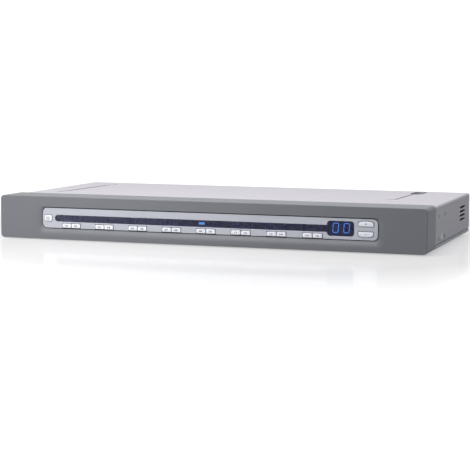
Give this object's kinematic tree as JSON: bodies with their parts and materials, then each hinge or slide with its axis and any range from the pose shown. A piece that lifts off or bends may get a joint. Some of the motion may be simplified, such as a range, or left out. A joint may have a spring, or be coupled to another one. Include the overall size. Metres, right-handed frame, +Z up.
{
  "type": "kvm switch",
  "caption": "Flat rack-height case with a grey bezel, a silver control panel with port buttons, a smoked indicator strip and a number window, and cable sockets at the back.",
  "frame": {"origin": "centre of the footprint, on the surface the feet stand on", "axes": "+X to the right of a person facing the control panel, +Y to the back, +Z up"},
  "size_m": [0.44, 0.232, 0.0442],
  "materials": {
    "bezel_plastic": "fine-grained moulded plastic, satin",
    "panel_silver": "fine silver metallic paint",
    "smoked_lens": "polished smoked acrylic",
    "key_cap": "satin moulded plastic",
    "keypad_rubber": "matt silicone",
    "led_blue": "diffused epoxy",
    "display_black": "gloss with blue segments",
    "board_green": "solder-masked laminate",
    "power_board_tan": "bare laminate",
    "screw_steel": "zinc plated",
    "black_plastic": "satin moulded plastic",
    "rocker_black": "polished",
    "cover_paint": "fine-textured powder coat",
    "tray_steel": "fine-textured powder coat",
    "foot_rubber": "matt",
    "connector_steel": "nickel plated",
    "insert_blue": "moulded plastic",
    "jack_purple": "moulded plastic",
    "jack_green": "moulded plastic",
    "tongue_white": "moulded plastic",
    "contact_gold": "gold plated",
    "standoff_brass": "turned",
    "chip_black": "moulded epoxy",
    "heat_aluminium": "extruded",
    "capacitor_sleeve": "shrink sleeve",
    "transformer_tape": "taped windings",
    "wire_pvc": "insulation",
    "ribbon_grey": "ribbed flat cable"
  },
  "bodies": {
    "case": {"front_bezel": "bezel_plastic", "trim_panel": "panel_silver", "display_lens": "smoked_lens", "keypad_mat": "keypad_rubber", "port_leds": "led_blue", "digit_display": "display_black", "control_board": "board_green", "control_board_screws": "screw_steel", "ribbon_cable": "ribbon_grey", "ribbon_headers": "black_plastic", "chassis_tray": "tray_steel", "top_cover": "cover_paint", "cover_screws": "screw_steel", "bezel_screws": "screw_steel", "rubber_feet": "foot_rubber", "main_board": "board_green", "board_standoffs": "standoff_brass", "board_screws": "screw_steel", "port_jack_shields": "connector_steel", "port_jack_inserts": "black_plastic", "port_jack_contacts": "contact_gold", "video_jack_shell": "connector_steel", "video_jack_insert": "insert_blue", "chain_jack_shell": "connector_steel", "chain_jack_insert": "black_plastic", "jackscrews": "screw_steel", "keyboard_jack": "jack_purple", "mouse_jack": "jack_green", "usb_jack_shell": "connector_steel", "usb_jack_tongues": "tongue_white", "switch_chips": "chip_black", "heat_sink": "heat_aluminium", "board_capacitors": "capacitor_sleeve", "power_board": "power_board_tan", "power_transformer": "transformer_tape", "power_capacitors": "capacitor_sleeve", "power_inlet": "black_plastic", "inlet_pins": "contact_gold", "power_switch_frame": "black_plastic", "power_wires": "wire_pvc"},
    "port_button_01": {"port_button_01": "key_cap"},
    "port_button_02": {"port_button_02": "key_cap"},
    "port_button_03": {"port_button_03": "key_cap"},
    "port_button_04": {"port_button_04": "key_cap"},
    "port_button_05": {"port_button_05": "key_cap"},
    "port_button_06": {"port_button_06": "key_cap"},
    "port_button_07": {"port_button_07": "key_cap"},
    "port_button_08": {"port_button_08": "key_cap"},
    "port_button_09": {"port_button_09": "key_cap"},
    "port_button_10": {"port_button_10": "key_cap"},
    "port_button_11": {"port_button_11": "key_cap"},
    "port_button_12": {"port_button_12": "key_cap"},
    "port_button_13": {"port_button_13": "key_cap"},
    "port_button_14": {"port_button_14": "key_cap"},
    "port_button_15": {"port_button_15": "key_cap"},
    "port_button_16": {"port_button_16": "key_cap"},
    "bank_up_button": {"bank_up_button": "key_cap"},
    "bank_down_button": {"bank_down_button": "key_cap"},
    "reset_button": {"reset_button": "key_cap"},
    "power_rocker": {"power_rocker": "rocker_black"}
  },
  "joints": [
    {"name": "port_button_01_press", "type": "slide", "parent": "case", "child": "port_button_01", "axis": [0, 1, 0], "range_m": [0, 0.0008], "stiffness_N_per_m": 120, "deforming": ["keypad_mat"]},
    {"name": "port_button_02_press", "type": "slide", "parent": "case", "child": "port_button_02", "axis": [0, 1, 0], "range_m": [0, 0.0008], "stiffness_N_per_m": 120, "deforming": ["keypad_mat"]},
    {"name": "port_button_03_press", "type": "slide", "parent": "case", "child": "port_button_03", "axis": [0, 1, 0], "range_m": [0, 0.0008], "stiffness_N_per_m": 120, "deforming": ["keypad_mat"]},
    {"name": "port_button_04_press", "type": "slide", "parent": "case", "child": "port_button_04", "axis": [0, 1, 0], "range_m": [0, 0.0008], "stiffness_N_per_m": 120, "deforming": ["keypad_mat"]},
    {"name": "port_button_05_press", "type": "slide", "parent": "case", "child": "port_button_05", "axis": [0, 1, 0], "range_m": [0, 0.0008], "stiffness_N_per_m": 120, "deforming": ["keypad_mat"]},
    {"name": "port_button_06_press", "type": "slide", "parent": "case", "child": "port_button_06", "axis": [0, 1, 0], "range_m": [0, 0.0008], "stiffness_N_per_m": 120, "deforming": ["keypad_mat"]},
    {"name": "port_button_07_press", "type": "slide", "parent": "case", "child": "port_button_07", "axis": [0, 1, 0], "range_m": [0, 0.0008], "stiffness_N_per_m": 120, "deforming": ["keypad_mat"]},
    {"name": "port_button_08_press", "type": "slide", "parent": "case", "child": "port_button_08", "axis": [0, 1, 0], "range_m": [0, 0.0008], "stiffness_N_per_m": 120, "deforming": ["keypad_mat"]},
    {"name": "port_button_09_press", "type": "slide", "parent": "case", "child": "port_button_09", "axis": [0, 1, 0], "range_m": [0, 0.0008], "stiffness_N_per_m": 120, "deforming": ["keypad_mat"]},
    {"name": "port_button_10_press", "type": "slide", "parent": "case", "child": "port_button_10", "axis": [0, 1, 0], "range_m": [0, 0.0008], "stiffness_N_per_m": 120, "deforming": ["keypad_mat"]},
    {"name": "port_button_11_press", "type": "slide", "parent": "case", "child": "port_button_11", "axis": [0, 1, 0], "range_m": [0, 0.0008], "stiffness_N_per_m": 120, "deforming": ["keypad_mat"]},
    {"name": "port_button_12_press", "type": "slide", "parent": "case", "child": "port_button_12", "axis": [0, 1, 0], "range_m": [0, 0.0008], "stiffness_N_per_m": 120, "deforming": ["keypad_mat"]},
    {"name": "port_button_13_press", "type": "slide", "parent": "case", "child": "port_button_13", "axis": [0, 1, 0], "range_m": [0, 0.0008], "stiffness_N_per_m": 120, "deforming": ["keypad_mat"]},
    {"name": "port_button_14_press", "type": "slide", "parent": "case", "child": "port_button_14", "axis": [0, 1, 0], "range_m": [0, 0.0008], "stiffness_N_per_m": 120, "deforming": ["keypad_mat"]},
    {"name": "port_button_15_press", "type": "slide", "parent": "case", "child": "port_button_15", "axis": [0, 1, 0], "range_m": [0, 0.0008], "stiffness_N_per_m": 120, "deforming": ["keypad_mat"]},
    {"name": "port_button_16_press", "type": "slide", "parent": "case", "child": "port_button_16", "axis": [0, 1, 0], "range_m": [0, 0.0008], "stiffness_N_per_m": 120, "deforming": ["keypad_mat"]},
    {"name": "bank_up_button_press", "type": "slide", "parent": "case", "child": "bank_up_button", "axis": [0, 1, 0], "range_m": [0, 0.0008], "stiffness_N_per_m": 120, "deforming": ["keypad_mat"]},
    {"name": "bank_down_button_press", "type": "slide", "parent": "case", "child": "bank_down_button", "axis": [0, 1, 0], "range_m": [0, 0.0008], "stiffness_N_per_m": 120, "deforming": ["keypad_mat"]},
    {"name": "reset_button_press", "type": "slide", "parent": "case", "child": "reset_button", "axis": [0, 1, 0], "range_m": [0, 0.0008], "stiffness_N_per_m": 120, "deforming": ["keypad_mat"]},
    {"name": "power_rocker_tilt", "type": "hinge", "parent": "case", "child": "power_rocker", "pos_m": [0.157, 0.1106, 0.0225], "axis": [1, 0, 0], "range_deg": [-16, 0]}
  ]
}
